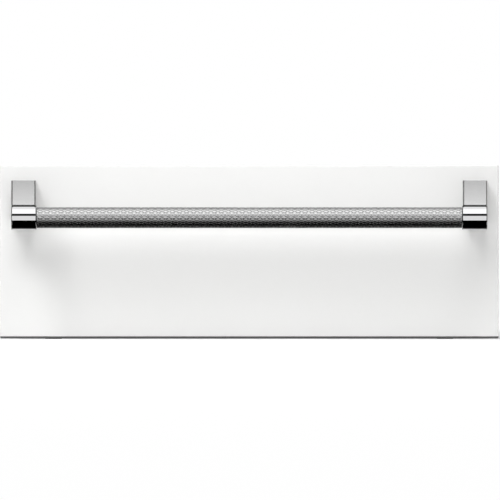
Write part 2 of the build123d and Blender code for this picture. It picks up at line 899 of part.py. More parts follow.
with BuildPart() as slide_middle_right:
    with BuildSketch(front_view(y_slide)):
        member(middle_half, middle_web, lip_depth, True,
               [(outer_ball_x, outer_ball_z), (inner_ball_x, inner_ball_z)])
    extrude(amount=-slide_length)
save(slide_middle_right, "slide_middle_right")

with BuildPart() as slide_inner_right:
    with BuildSketch(front_view(y_slide)):
        member(inner_half, inner_flange_depth, slide_thickness, False, [(inner_ball_x, inner_ball_z)])
    extrude(amount=-slide_length)
    with Locations(*rail_rivet_seats):
        Cone(rivet_head_diameter / 2, rivet_hole / 2, slide_sheet, align=MIDDLE_MIN, mode=Mode.SUBTRACT)
save(slide_inner_right, "slide_inner_right")

for part, name in (
    (slide_outer_right, "slide_outer_left"),
    (slide_middle_right, "slide_middle_left"),
    (slide_inner_right, "slide_inner_left"),
):
    with BuildPart() as left_member:
        mirror(part.part, about=Plane.YZ)
    save(left_member, name)

ball_ys = [
    y_cage + cage_length / 2 + ball_pitch * (number - (balls_per_row - 1) / 2)
    for number in range(balls_per_row)
]
for title, ball_x, ball_z, web in (
    ("outer", outer_ball_x, outer_ball_z, outer_cage_depth),
    ("inner", inner_ball_x, inner_ball_z, inner_cage_depth),
):
    ball_places = [
        (x, y, slide_axis_height + z) for x in (-ball_x, ball_x) for y in ball_ys for z in (-ball_z, ball_z)
    ]
    cage_half = ball_z + cage_sheet / 2
    with BuildPart() as ball_cages:
        for side in (-1, 1):
            with BuildSketch(front_view(y_cage)):
                with Locations((side * (slide_x(web) + slide_x(lip_depth)) / 2, slide_axis_height)):
                    Rectangle(lip_depth - web, 2 * cage_half)
                inside_x = (slide_x(web + cage_sheet) + slide_x(lip_depth)) / 2
                with Locations((side * inside_x, slide_axis_height)):
                    Rectangle(
                        lip_depth - web - cage_sheet, 2 * (cage_half - cage_sheet), mode=Mode.SUBTRACT
                    )
            extrude(amount=-cage_length)
        with Locations(*ball_places):
            Cylinder(ball_diameter / 2 + hole_clearance, ball_diameter, mode=Mode.SUBTRACT)
    save(ball_cages, f"{title}_ball_cages")
    with BuildPart() as balls:
        with Locations(*ball_places):
            Sphere(ball_diameter / 2)
    save(balls, f"{title}_balls")

with BuildPart() as chassis_rivets_right:
    countersunk(rivet_seats, slide_sheet + liner_sheet + rivet_head_height)
    with Locations(*[facing(x_liner, y, slide_axis_height, (1, 0, 0)) for y in slide_rivet_ys]):
        Cylinder(rivet_head_diameter / 2, rivet_head_height, align=MIDDLE_MIN)

with BuildPart() as slide_rivets:
    add(chassis_rivets_right.part)
    mirror(chassis_rivets_right.part, about=Plane.YZ)
save(slide_rivets, "slide_rivets")

# ---- drawer rails: the folded sides and back that carry the tub

x_rail_in = x_rail - rail_sheet
z_lip = z_rail_top - rail_sheet
rail_screw_zs = [rail_bottom + rail_front_flange, z_lip - rail_front_flange]
rail_screw_x = x_rail_in - (rail_front_flange - rail_sheet) / 2
rail_screws = [
    facing(side * rail_screw_x, y_front_back + rail_sheet, z, REAR)
    for side in (-1, 1)
    for z in rail_screw_zs
]

with BuildPart() as drawer_rail_right:
    block(x_rail_in, x_rail, y_front_back, y_rail_end, rail_bottom, z_rail_top)
    block(x_rail - rail_lip, x_rail, y_front_back, y_rail_end, z_lip, z_rail_top)
    block(x_rail - rail_front_flange, x_rail, y_front_back, y_front_back + rail_sheet,
          rail_bottom, z_rail_top)
    drill(rail_screws, hole, 2 * rail_sheet)
    with Locations(*[facing(x_rail, y, slide_axis_height, (1, 0, 0)) for y in slide_rivet_ys]):
        Cylinder(rivet_hole / 2, 3 * rail_sheet, mode=Mode.SUBTRACT)
save(drawer_rail_right, "drawer_rail_right")

with BuildPart() as drawer_rail_left:
    mirror(drawer_rail_right.part, about=Plane.YZ)
save(drawer_rail_left, "drawer_rail_left")

with BuildPart() as drawer_rail_back:
    block(-x_rail_in, x_rail_in, y_rail_end - rail_sheet, y_rail_end, z_rail_top - back_rail_height, z_lip)
    block(-x_rail + rail_lip, x_rail - rail_lip, y_tub_back + tub_clearance, y_rail_end, z_lip, z_rail_top)
save(drawer_rail_back, "drawer_rail_back")

# ---- tub: a deep drawn pan with a flat rim, and the wire rack that stands in it

tub_taper = tub_depth * tub_slope
y_tub_middle = (y_tub + y_tub_back) / 2

with BuildPart() as tub_hollow:
    with BuildSketch(Plane.XY.offset(tub_rim_height)):
        with Locations((0, y_tub_middle)):
            RectangleRounded(2 * (x_tub - tub_sheet), tub_length - 2 * tub_sheet, tub_corner - tub_sheet)
    with BuildSketch(Plane.XY.offset(z_tub_floor + tub_sheet)):
        with Locations((0, y_tub_middle)):
            RectangleRounded(
                2 * (x_tub - tub_sheet - tub_taper),
                tub_length - 2 * (tub_sheet + tub_taper),
                tub_corner - tub_sheet,
            )
    loft()
    fillet(tub_hollow.edges().group_by(Axis.Z)[0], tub_bottom_radius - tub_sheet)

with BuildPart() as drawer_tub:
    with BuildSketch(Plane.XY.offset(tub_rim_height)):
        with Locations((0, y_tub_middle)):
            RectangleRounded(2 * x_tub, tub_length, tub_corner)
    with BuildSketch(Plane.XY.offset(z_tub_floor)):
        with Locations((0, y_tub_middle)):
            RectangleRounded(2 * (x_tub - tub_taper), tub_length - 2 * tub_taper, tub_corner)
    loft()
    fillet(drawer_tub.edges().group_by(Axis.Z)[0], tub_bottom_radius)
    with BuildSketch(Plane.XY.offset(z_rail_top)):
        with Locations((0, y_tub_middle)):
            RectangleRounded(2 * (x_tub + tub_flange), tub_length + 2 * tub_flange, tub_flange)
    extrude(amount=tub_sheet)
    add(tub_hollow.part, mode=Mode.SUBTRACT)
save(drawer_tub, "drawer_tub")

x_rack = x_tub - tub_taper - rack_margin
y_rack_front = y_tub + tub_taper + rack_margin
y_rack_back = y_tub_back - tub_taper - rack_margin
z_rack = z_tub_floor + tub_sheet + rack_lift
z_rack_wire = z_rack + rack_frame_wire / 2 + rack_wire / 4
rack_half_route = [(0, y_rack_front), (x_rack, y_rack_front), (x_rack, y_rack_back), (0, y_rack_back)]
rack_pitch = 2 * x_rack / (rack_wires + 1)
rack_wire_places = [
    facing(rack_pitch * (number - (rack_wires - 1) / 2), y_rack_front, z_rack_wire, REAR)
    for number in range(rack_wires)
]
rack_legs = [
    (x, y, z_tub_floor + tub_sheet)
    for x in (-x_rack + rack_leg_inset, x_rack - rack_leg_inset)
    for y in (y_rack_front, y_rack_back)
]

with BuildPart() as rack_half_frame:
    with BuildLine(Plane.XY.offset(z_rack)) as rack_line:
        FilletPolyline(*rack_half_route, radius=rack_margin)
    with BuildSketch(Plane(origin=rack_line.line @ 0, z_dir=rack_line.line % 0)):
        Circle(rack_frame_wire / 2)
    sweep()

with BuildPart() as wire_rack:
    add(rack_half_frame.part)
    mirror(rack_half_frame.part, about=Plane.YZ)
    with Locations(*rack_wire_places):
        Cylinder(rack_wire / 2, y_rack_back - y_rack_front, align=MIDDLE_MIN)
    with Locations(facing(-x_rack, y_tub_middle, z_rack, (1, 0, 0))):
        Cylinder(rack_bar / 2, 2 * x_rack, align=MIDDLE_MIN)
    with Locations(*rack_legs):
        Cylinder(rack_bar / 2, rack_lift, align=MIDDLE_MIN)
save(wire_rack, "wire_rack")

# ---- drawer front: a folded painted skin, its insulation and the inner liner

z_front_middle = front_floor_gap + front_height / 2
y_lip_back = y_front_back - liner_sheet
y_lip = y_lip_back - front_sheet
x_lip_screw = front_width / 2 - front_sheet - front_lip / 2
z_lip_low = front_floor_gap + front_sheet + front_lip / 2
z_lip_high = z_front_top - front_sheet - front_lip / 2
liner_screws = [
    facing(x, y_front_back, z, REAR)
    for x in (-x_lip_screw, x_lip_screw)
    for z in (z_front_middle - front_height / 3, z_front_middle, z_front_middle + front_height / 3)
] + [facing(x, y_front_back, z, REAR) for x in (-x_rail / 2, x_rail / 2) for z in (z_lip_low, z_lip_high)]

bolt_hole = bolt_diameter + 2 * hole_clearance
post_screw_hole = post_screw_diameter + 2 * hole_clearance
bolt_places = [facing(x, y_face + front_sheet, z_bar, REAR) for x in (-x_post, x_post)]
post_screw_places = [facing(x, y_face + front_sheet, z_post_screw, REAR) for x in (-x_post, x_post)]

with BuildPart() as front_hollow:
    with BuildSketch(front_view(y_lip)):
        with Locations((0, z_front_middle)):
            Rectangle(front_width - 2 * front_sheet, front_height - 2 * front_sheet)
    extrude(amount=y_lip - y_face - front_sheet)
    fillet(
        front_hollow.edges().filter_by(Axis.Y) + front_hollow.edges().group_by(Axis.Y)[0],
        front_edge_radius - front_sheet,
    )

with BuildPart() as front_skin:
    with BuildSketch(front_view(y_lip_back)):
        with Locations((0, z_front_middle)):
            Rectangle(front_width, front_height)
    extrude(amount=y_lip_back - y_face)
    fillet(
        front_skin.edges().filter_by(Axis.Y) + front_skin.edges().group_by(Axis.Y)[0],
        front_edge_radius,
    )
    add(front_hollow.part, mode=Mode.SUBTRACT)
    with BuildSketch(front_view(y_lip_back)):
        with Locations((0, z_front_middle)):
            Rectangle(
                front_width - 2 * (front_sheet + front_lip), front_height - 2 * (front_sheet + front_lip)
            )
    extrude(amount=front_sheet, mode=Mode.SUBTRACT)
    drill(liner_screws, hole, screw_length)
    drill(bolt_places, bolt_hole, 2 * front_sheet)
    drill(post_screw_places, post_screw_hole, 2 * front_sheet)
    with BuildSketch(Plane.XY.offset(front_floor_gap)):
        with Locations((0, (y_face + y_lip) / 2)):
            with GridLocations(outlet_pitch, 0, outlet_count, 1):
                SlotOverall(outlet_width, outlet_depth)
    extrude(amount=front_sheet, mode=Mode.SUBTRACT)
save(front_skin, "front_skin")

vent_slot_xs = [vent_pitch * (number - (vent_count - 1) / 2) for number in range(vent_count)]
vent_pins_x = [-vent_pin_spread / 2, vent_pin_spread / 2]

with BuildPart() as front_liner:
    with BuildSketch(front_view(y_front_back)):
        with Locations((0, z_front_middle)):
            RectangleRounded(front_width, front_height, front_edge_radius)
        with Locations(*[(x, vent_centre_height) for x in vent_slot_xs]):
            Rectangle(vent_width, vent_height, mode=Mode.SUBTRACT)
        with Locations(*[(x, vent_centre_height) for x in vent_pins_x]):
            Circle(rivet_hole / 2, mode=Mode.SUBTRACT)
    extrude(amount=liner_sheet)
    drill(liner_screws, hole, screw_length)
    drill(rail_screws, hole, screw_length)
save(front_liner, "front_liner")

x_front_pad = front_width / 2 - front_sheet - front_lip - pad_clearance
z_front_pad = front_height / 2 - front_sheet - front_lip - pad_clearance
backing_width = post_width + bolt_head_diameter
y_front_pad = y_face + front_sheet + pad_clearance

with BuildPart() as front_insulation:
    with BuildSketch(front_view(y_lip - pad_clearance)):
        with Locations((0, z_front_middle)):
            Rectangle(2 * x_front_pad, 2 * z_front_pad)
    extrude(amount=y_lip - pad_clearance - y_front_pad)
    with BuildSketch(front_view(y_lip)):
        with Locations((-x_post, z_backing), (x_post, z_backing)):
            Rectangle(backing_width + 2 * backing_play, backing_height + 2 * backing_play)
        with Locations((0, vent_centre_height)):
            Rectangle(vent_plate_width, vent_height + 2 * vent_play)
        with Locations((0, (z_front_middle - z_front_pad + vent_centre_height) / 2)):
            Rectangle(vent_plate_width / 3, vent_centre_height - z_front_middle + z_front_pad)
    extrude(amount=y_lip - y_face, mode=Mode.SUBTRACT)
    drill(rail_screws, screw_head_diameter, 2 * screw_length)
save(front_insulation, "front_insulation")

with BuildPart() as front_seal:
    with BuildSketch(front_view(y_front_back)):
        with Locations((0, (z_cavity + z_roof) / 2)):
            RectangleRounded(
                2 * (x_cavity + seal_margin + seal_width),
                cavity_height + 2 * (seal_margin + seal_width),
                seal_width,
            )
            Rectangle(
                2 * (x_cavity + seal_margin), cavity_height + 2 * seal_margin, mode=Mode.SUBTRACT
            )
    extrude(amount=-(seal_gap - seal_clearance))
    fillet(front_seal.edges().group_by(Axis.Y)[-1], seal_width / 4)
save(front_seal, "front_seal")

with BuildPart() as drawer_screws:
    with Locations(*liner_screws, *rail_screws):
        add(pan_screw.part)
save(drawer_screws, "drawer_screws")

# ---- vent slider: a slotted plate on two pins that opens the moisture vents

y_slider = y_front_back + vent_play
y_slider_back = y_slider + vent_plate_sheet

with BuildPart() as vent_slider:
    with BuildSketch(front_view(y_slider)):
        with Locations((0, vent_centre_height)):
            RectangleRounded(vent_plate_width, vent_plate_height, vent_plate_height / 5)
        with Locations(*[(x - vent_travel, vent_centre_height) for x in vent_slot_xs]):
            Rectangle(vent_width, vent_height, mode=Mode.SUBTRACT)
        with Locations(*[(x - vent_travel / 2, vent_centre_height) for x in vent_pins_x]):
            SlotCenterToCenter(vent_travel, rivet_diameter + 2 * vent_play, mode=Mode.SUBTRACT)
    extrude(amount=-vent_plate_sheet)
    block(
        -vent_tab_width / 2 + vent_pitch / 2 - vent_travel,
        vent_tab_width / 2 + vent_pitch / 2 - vent_travel,
        y_slider_back - vent_plate_sheet / 2,
        y_slider_back + vent_tab_reach,
        vent_centre_height + vent_plate_height / 2 - vent_plate_sheet,
        vent_centre_height + vent_plate_height / 2,
    )
save(vent_slider, "vent_slider")

# ---- rivets of the drawer: six through the slides and rails, two that guide the vent slider

y_pin_head = y_slider_back + vent_play

with BuildPart() as drawer_rivets_right:
    countersunk(rail_rivet_seats, slide_sheet + rail_sheet + rivet_head_height)
    with Locations(*[facing(x_rail_in, y, slide_axis_height, (-1, 0, 0)) for y in slide_rivet_ys]):
        Cylinder(rivet_head_diameter / 2, rivet_head_height, align=MIDDLE_MIN)
    with Locations(facing(vent_pin_spread / 2, y_front_back - liner_sheet, vent_centre_height, REAR)):
        Cylinder(rivet_diameter / 2, y_pin_head - y_front_back + liner_sheet, align=MIDDLE_MIN)
    with Locations(facing(vent_pin_spread / 2, y_pin_head, vent_centre_height, REAR)):
        Cylinder(rivet_head_diameter / 2, rivet_head_height, align=MIDDLE_MIN)

with BuildPart() as drawer_rivets:
    add(drawer_rivets_right.part)
    mirror(drawer_rivets_right.part, about=Plane.YZ)
save(drawer_rivets, "drawer_rivets")

# ---- handle: two posts, two end caps, a knurled bar and the bolts that hold them

bar_length = 2 * (x_cap_inner - seat_clearance)

with BuildPart() as handle_bar:
    with Locations(facing(-bar_length / 2, y_bar, z_bar, (1, 0, 0))):
        Cylinder(bar_diameter / 2, bar_length, align=MIDDLE_MIN)
    with Locations(facing(-bar_length / 2 - bar_spigot_length, y_bar, z_bar, (1, 0, 0))):
        Cylinder(bar_spigot / 2, bar_length + 2 * bar_spigot_length, align=MIDDLE_MIN)
        Cylinder(
            bar_bore / 2, bar_length + 2 * bar_spigot_length, align=MIDDLE_MIN, mode=Mode.SUBTRACT
        )
save(handle_bar, "handle_bar")

with BuildPart() as handle_cap_right:
    with BuildSketch(Plane.YZ.offset(x_cap_inner)):
        with Locations((y_bar, z_bar)):
            Circle(cap_diameter / 2)
    extrude(amount=cap_length)
    chamfer(handle_cap_right.edges().filter_by(GeomType.CIRCLE), cap_chamfer)
    with BuildSketch(Plane.YZ.offset(x_cap_inner)):
        with Locations((y_bar, z_bar)):
            Circle(bar_spigot / 2 + hole_clearance)
    extrude(amount=bar_spigot_length + seat_clearance, mode=Mode.SUBTRACT)
    with Locations(facing(x_post, y_bar + cap_diameter / 2, z_bar, REAR)):
        Cylinder(bolt_hole / 2, bolt_engagement + 1, align=MIDDLE_MAX, mode=Mode.SUBTRACT)
save(handle_cap_right, "handle_cap_right")

with BuildPart() as handle_cap_left:
    mirror(handle_cap_right.part, about=Plane.YZ)
save(handle_cap_left, "handle_cap_left")

z_post_low = z_bar - post_below_axis

with BuildPart() as handle_post_right:
    block(x_cap_outer - post_width, x_cap_outer, y_bar, y_face, z_post_low, z_post_top)
    chamfer(
        handle_post_right.edges().filter_by(Axis.Z).group_by(Axis.Y)[0], post_chamfer
    )
    with BuildSketch(Plane.YZ.offset(x_cap_outer - post_width)):
        with Locations((y_bar, z_bar)):
            Circle(cap_diameter / 2 + seat_clearance)
    extrude(amount=post_width, mode=Mode.SUBTRACT)
    with Locations(facing(x_post, y_face, z_bar, REAR)):
        Cylinder(bolt_hole / 2, 2 * bar_standoff, align=MIDDLE_MAX, mode=Mode.SUBTRACT)
    with Locations(facing(x_post, y_face, z_post_screw, REAR)):
        Cylinder(post_screw_hole / 2, post_screw_grip + 1, align=MIDDLE_MAX, mode=Mode.SUBTRACT)
save(handle_post_right, "handle_post_right")

with BuildPart() as handle_post_left:
    mirror(handle_post_right.part, about=Plane.YZ)
save(handle_post_left, "handle_post_left")

y_backing = y_face + front_sheet
y_bolt_seat = y_backing + backing_thickness

with BuildPart() as handle_backings:
    with BuildSketch(front_view(y_backing)):
        with Locations((-x_post, z_backing), (x_post, z_backing)):
            RectangleRounded(backing_width, backing_height, backing_corner)
        with Locations((-x_post, z_bar), (x_post, z_bar)):
            Circle(bolt_hole / 2, mode=Mode.SUBTRACT)
        with Locations((-x_post, z_post_screw), (x_post, z_post_screw)):
            Circle(post_screw_hole / 2, mode=Mode.SUBTRACT)
    extrude(amount=-backing_thickness)
save(handle_backings, "handle_backings")

bolt_length = y_bolt_seat - y_bar - cap_diameter / 2 + bolt_engagement
post_screw_length = y_bolt_seat - y_face + post_screw_grip

with BuildPart() as handle_bolts:
    for diameter, length, z in (
        (bolt_diameter, bolt_length, z_bar),
        (post_screw_diameter, post_screw_length, z_post_screw),
    ):
        with Locations(*[facing(x, y_bolt_seat, z, REAR) for x in (-x_post, x_post)]):
            Cylinder(diameter / 2, length, align=MIDDLE_MAX)
            Cylinder(bolt_head_diameter / 2, bolt_head_height, align=MIDDLE_MIN)
        sockets = [facing(x, y_bolt_seat + bolt_head_height, z, REAR) for x in (-x_post, x_post)]
        drill(sockets, bolt_head_diameter / 2, bolt_head_height / 2)
save(handle_bolts, "handle_bolts")
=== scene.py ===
import bpy
import math
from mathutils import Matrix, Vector


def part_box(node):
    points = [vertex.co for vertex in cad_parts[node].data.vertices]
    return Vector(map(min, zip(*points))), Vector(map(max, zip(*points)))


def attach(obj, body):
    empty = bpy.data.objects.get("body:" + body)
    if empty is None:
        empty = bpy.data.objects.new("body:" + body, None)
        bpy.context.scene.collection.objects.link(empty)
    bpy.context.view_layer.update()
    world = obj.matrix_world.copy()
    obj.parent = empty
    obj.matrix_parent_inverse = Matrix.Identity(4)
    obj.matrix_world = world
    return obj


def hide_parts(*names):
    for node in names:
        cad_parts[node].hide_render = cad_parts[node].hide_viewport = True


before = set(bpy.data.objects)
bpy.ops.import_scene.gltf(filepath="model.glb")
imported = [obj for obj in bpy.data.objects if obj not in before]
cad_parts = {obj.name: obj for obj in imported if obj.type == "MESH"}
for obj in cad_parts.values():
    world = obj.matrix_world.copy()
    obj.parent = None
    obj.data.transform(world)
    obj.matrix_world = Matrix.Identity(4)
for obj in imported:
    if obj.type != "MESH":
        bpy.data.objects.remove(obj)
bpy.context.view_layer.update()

# The studio, part 1: the camera.
# It looks straight at the drawer front through a very long lens, as the photograph does, and the
# front fills the picture from side to side. Rows and columns are counted in the picture's pixels.
scene = bpy.context.scene
scene.view_settings.view_transform = "Standard"
face_low, face_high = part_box("front_skin")
picture_pixels = 500
front_pixels = 498.6
front_middle_column = 249.3
front_top_row = 165.25
metres_per_pixel = (face_high.x - face_low.x) / front_pixels
camera_side = (picture_pixels / 2 - front_middle_column) * metres_per_pixel
camera_height = face_high.z - (picture_pixels / 2 - front_top_row) * metres_per_pixel
camera_distance = 24.0
sensor_width = 36.0
bpy.ops.object.camera_add(
    location=(camera_side, face_low.y - camera_distance, camera_height),
    rotation=(math.radians(90), 0, 0),
)
camera = bpy.context.object
camera.data.sensor_width = sensor_width
camera.data.lens = sensor_width * camera_distance / (picture_pixels * metres_per_pixel)
camera.data.clip_end = 200.0
scene.camera = camera


# The studio, part 2: the floor.
# A plain white sheet that goes out of sight on all sides. It glows, to look white in the picture
# and in polished metal, but less so near the drawer, whose shadow has to stay.
def grey(shade):
    return (shade, shade, shade, 1)


class Level:
    """One value or colour of a finish, on its way to the shader."""

    def __init__(self, finish, socket):
        self.finish = finish
        self.socket = socket

    def maths(self, operation, *values):
        return self.finish.put("ShaderNodeMath", {"operation": operation}, dict(enumerate(values)))

    def __add__(self, other):
        return self.maths("ADD", self, other)

    def __sub__(self, other):
        return self.maths("SUBTRACT", self, other)

    def __rsub__(self, other):
        return self.maths("SUBTRACT", other, self)

    def __mul__(self, other):
        return self.maths("MULTIPLY", self, other)

    def __truediv__(self, other):
        return self.maths("DIVIDE", self, other)

    def __rtruediv__(self, other):
        return self.maths("DIVIDE", other, self)

    def __gt__(self, other):
        return self.maths("GREATER_THAN", self, other)

    def __lt__(self, other):
        return self.maths("LESS_THAN", self, other)

    def __abs__(self):
        return self.maths("ABSOLUTE", self)

    __radd__ = __add__
    __rmul__ = __mul__


class Finish:
    """The surface of one kind of piece, built up from nodes."""

    def __init__(self, name, owner=None, **fixed):
        if owner is None:
            owner = bpy.data.materials.new(name)
        owner.use_nodes = True
        self.owner = owner
        self.nodes = owner.node_tree.nodes
        self.links = owner.node_tree.links
        for socket, value in fixed.items():
            self.nodes["Principled BSDF"].inputs[socket.replace("_", " ")].default_value = value

    def put(self, kind, settings, sockets, out=0):
        """Adds a node. Its settings come first, then the values or links of its sockets."""
        node = self.nodes.new(kind)
        for key, value in settings.items():
            if key == "stops":
                ramp = node.color_ramp
                while len(ramp.elements) < len(value):
                    ramp.elements.new(0.5)
                for element, (position, shade) in zip(ramp.elements, value):
                    element.position = position
                    element.color = grey(shade)
            else:
                setattr(node, key, value)
        for key, value in sockets.items():
            if isinstance(value, Level):
                self.links.new(value.socket, node.inputs[key])
            else:
                node.inputs[key].default_value = value
        return Level(self, node.outputs[out])

    def place(self):
        """Object coordinates: where a point is in the whole drawer, in metres."""
        return self.put("ShaderNodeTexCoord", {}, {}, out="Object")

    def stretched(self, x, y, z):
        return self.put("ShaderNodeMapping", {}, {"Vector": self.place(), "Scale": (x, y, z)})

    def axes(self, vector):
        """The x, y and z of a place or of a direction."""
        return [self.put("ShaderNodeSeparateXYZ", {}, {0: vector}, out=axis) for axis in range(3)]

    def vectors(self, operation, *values, out=0):
        return self.put(
            "ShaderNodeVectorMath", {"operation": operation}, dict(enumerate(values)), out
        )

    def rays(self, *kinds):
        """1 on rays of these kinds and 0 on all others."""
        return sum(
            self.put("ShaderNodeLightPath", {}, {}, out="Is " + kind + " Ray") for kind in kinds
        )

    def ramp(self, level, stops):
        """Shades of grey along a level. Each stop has a position from 0 to 1 and a shade."""
        return self.put("ShaderNodeValToRGB", {"stops": stops}, {0: level})

    def noise(self, vector, scale, detail=2.0, roughness=0.5):
        return self.put(
            "ShaderNodeTexNoise",
            {},
            {"Vector": vector, "Scale": scale, "Detail": detail, "Roughness": roughness},
        )

    def mix(self, factor, first, second):
        return self.put(
            "ShaderNodeMix", {"data_type": "RGBA"}, {0: factor, 6: first, 7: second}, out=2
        )

    def times(self, first, second):
        return self.put(
            "ShaderNodeMix",
            {"data_type": "RGBA", "blend_type": "MULTIPLY"},
            {0: 1.0, 6: first, 7: second},
            out=2,
        )

    def feed(self, socket, level, node="Principled BSDF"):
        self.links.new(level.socket, self.nodes[node].inputs[socket])

    def relief(self, height, depth, strength=1.0):
        bump = self.put(
            "ShaderNodeBump", {}, {"Height": height, "Distance": depth, "Strength": strength}
        )
        self.feed("Normal", bump)

    def on(self, *names):
        """Gives the finish to CAD nodes, through the material slots that they have."""
        for name in names:
            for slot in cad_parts[name].material_slots:
                slot.material = self.owner

    def cover(self, piece):
        """Gives the finish to a new piece."""
        piece.data.materials.append(self.owner)


floor_radius = 45.0
painted_white = grey(0.8)
bounced_white = grey(0.74)
glow_reach = 8.0
# Share of that reach, and how strongly the floor glows there.
glow_stops = [(0.15, 0.24), (0.45, 0.88)]
bpy.ops.object.select_all(action="DESELECT")
bpy.ops.mesh.primitive_circle_add(
    vertices=96, radius=floor_radius, fill_type="NGON", location=(0, 0, 0)
)
floor = bpy.context.object
floor.name = "studio_floor"
floor_sheet = Finish(
    "floor_sheet", Base_Color=painted_white, Roughness=1.0, Specular_IOR_Level=0.0
)
painted = Level(floor_sheet, floor_sheet.nodes["Principled BSDF"].outputs[0])
from_drawer = floor_sheet.vectors("LENGTH", floor_sheet.place(), out=1)
glow = floor_sheet.ramp(from_drawer / glow_reach, glow_stops)
lift = floor_sheet.put("ShaderNodeEmission", {}, {"Color": glow, "Strength": 1.0})
bright = floor_sheet.put("ShaderNodeAddShader", {}, {0: lift, 1: painted})
dim = floor_sheet.put("ShaderNodeBsdfDiffuse", {}, {"Color": bounced_white})
seen = floor_sheet.rays("Camera", "Glossy", "Transmission")
shown = floor_sheet.put("ShaderNodeMixShader", {}, {0: seen, 1: dim, 2: bright})
floor_sheet.feed("Surface", shown, "Material Output")
floor_sheet.cover(floor)

# The studio, part 3: the sky.
# White to the camera and faint as a light. Polished metal mirrors walls and ceilings instead, as
# bands from the front over the top to the back, and a darker grey at the sides.
sky = bpy.data.worlds.new("studio_sky")
scene.world = sky
sky_mix = Finish("studio_sky", owner=sky)
heading = sky_mix.put("ShaderNodeTexCoord", {}, {}, out="Generated")
side_way, back_way, up_way = sky_mix.axes(heading)
turn_up = sky_mix.put("ShaderNodeMath", {"operation": "ARCTAN2"}, {0: up_way, 1: 0 - back_way})
# Degrees up from the horizon in front, and the shade there.
bands = [
    (0, 0.72),
    (15, 0.74),
    (16, 0.01),
    (35.4, 0.01),
    (36.2, 1.05),
    (82, 1.05),
    (88, 0.8),
    (117, 0.78),
    (120, 0.05),
    (126, 0.05),
    (134, 0.7),
    (180, 0.7),
]
side_wall = grey(0.4)
faint_light = grey(0.14)
plain_white = grey(1.0)
mirrored = sky_mix.ramp(turn_up / math.pi, [(degrees / 180, shade) for degrees, shade in bands])
at_side = sky_mix.ramp(abs(side_way), [(0.45, 0.0), (0.8, 1.0)])
mirrored = sky_mix.mix(at_side, mirrored, side_wall)
sky_colour = sky_mix.mix(sky_mix.rays("Glossy"), faint_light, mirrored)
sky_colour = sky_mix.mix(sky_mix.rays("Camera", "Transmission"), sky_colour, plain_white)
sky_mix.feed("Color", sky_colour, "Background")

# The studio, part 4: the lamps.
# A distant lamp shines almost level at the front, so that its shadows stay behind the handle.
# Soft lamps hang high: a tall strip on the left, a wide one in front, a flat strip on the right.
aim = Vector((0, face_low.y, 0.15))
lamp_distance = 5.0
front_lamp_rise = 1.2
front_lamp_spread = 1.5
bpy.ops.object.light_add(
    type="SUN", location=(0, -3, aim.z), rotation=(math.radians(90 - front_lamp_rise), 0, 0)
)
front_lamp = bpy.context.object
front_lamp.name = "lamp_front"
front_lamp.data.angle = math.radians(front_lamp_spread)
front_lamp.data.energy = 0.62
front_lamp.visible_glossy = False


def soft_lamp(name, turn, rise, width, height, watts):
    """A lamp that faces the handle, so many degrees to the right of it and so many up."""
    bpy.ops.object.light_add(type="AREA", location=(0, 0, 0))
    lamp = bpy.context.object
    lamp.name = name
    lamp.data.shape = "RECTANGLE"
    lamp.data.size = width
    lamp.data.size_y = height
    lamp.data.energy = watts
    turn = math.radians(turn)
    rise = math.radians(rise)
    away = Vector(
        (math.sin(turn) * math.cos(rise), -math.cos(turn) * math.cos(rise), math.sin(rise))
    )
    lamp.location = aim + lamp_distance * away
    lamp.rotation_euler = away.to_track_quat("Z", "Y").to_euler()
    lamp.visible_glossy = False


soft_lamp("lamp_left", turn=-52, rise=55, width=0.8, height=2.2, watts=108)
soft_lamp("lamp_over", turn=-10, rise=50, width=2.7, height=2.6, watts=104)
soft_lamp("lamp_right", turn=30, rise=72, width=1.6, height=0.6, watts=44)

# The studio, part 5: the cards.
# They lie on the floor in front of the drawer, for polished metal alone to mirror: a black one
# close by and a grey one from there on.
card_width = 12.0
card_lift = 0.0006
black_edge = face_low.y - 0.002
grey_edge = face_low.y - 0.44
last_edge = face_low.y - 40.0


def floor_card(name, near_edge, far_edge, shade):
    bpy.ops.object.select_all(action="DESELECT")
    bpy.ops.mesh.primitive_plane_add(size=1, location=(0, 0, 0))
    card = bpy.context.object
    card.name = name
    card.scale = (card_width, near_edge - far_edge, 1)
    card.location = (0, (near_edge + far_edge) / 2, card_lift)
    bpy.ops.object.transform_apply(location=True, rotation=True, scale=True)
    paper = Finish(
        name,
        Base_Color=grey(0.0),
        Roughness=1.0,
        Specular_IOR_Level=0.0,
        Emission_Color=grey(shade),
        Emission_Strength=1.0,
    )
    paper.cover(card)
    card.visible_camera = False
    card.visible_diffuse = False
    card.visible_shadow = False
    card.visible_transmission = False


floor_card("black_card", black_edge, grey_edge, 0.0)
floor_card("grey_card", grey_edge, last_edge, 0.72)

# Base pan, top cover, side panels, rear cover and control housing.
# Folded from zinc coated steel sheet. The casing is screwed together along its flanges. The zinc
# has a faint spangle, and the sheet keeps small scuffs from handling.
zinc = Finish("zinc_sheet", Metallic=1.0)
dull_zinc = (0.5, 0.52, 0.53, 1)
bright_zinc = (0.68, 0.7, 0.71, 1)
flakes = zinc.put(
    "ShaderNodeTexVoronoi", {}, {"Vector": zinc.place(), "Scale": 140.0}, out="Color"
)
spangle = zinc.put("ShaderNodeSeparateColor", {}, {0: flakes}, out=0)
cloud = zinc.noise(zinc.place(), scale=9.0, detail=4.0)
zinc.feed("Base Color", zinc.mix(spangle * 0.35 + cloud * 0.4, dull_zinc, bright_zinc))
zinc.feed("Roughness", spangle * 0.12 + cloud * 0.16 + 0.3)
zinc.relief(zinc.noise(zinc.place(), scale=700.0), depth=0.00004)
zinc.on("base_pan", "top_cover", "side_panel_left", "side_panel_right", "rear_cover")
zinc.on("control_housing")

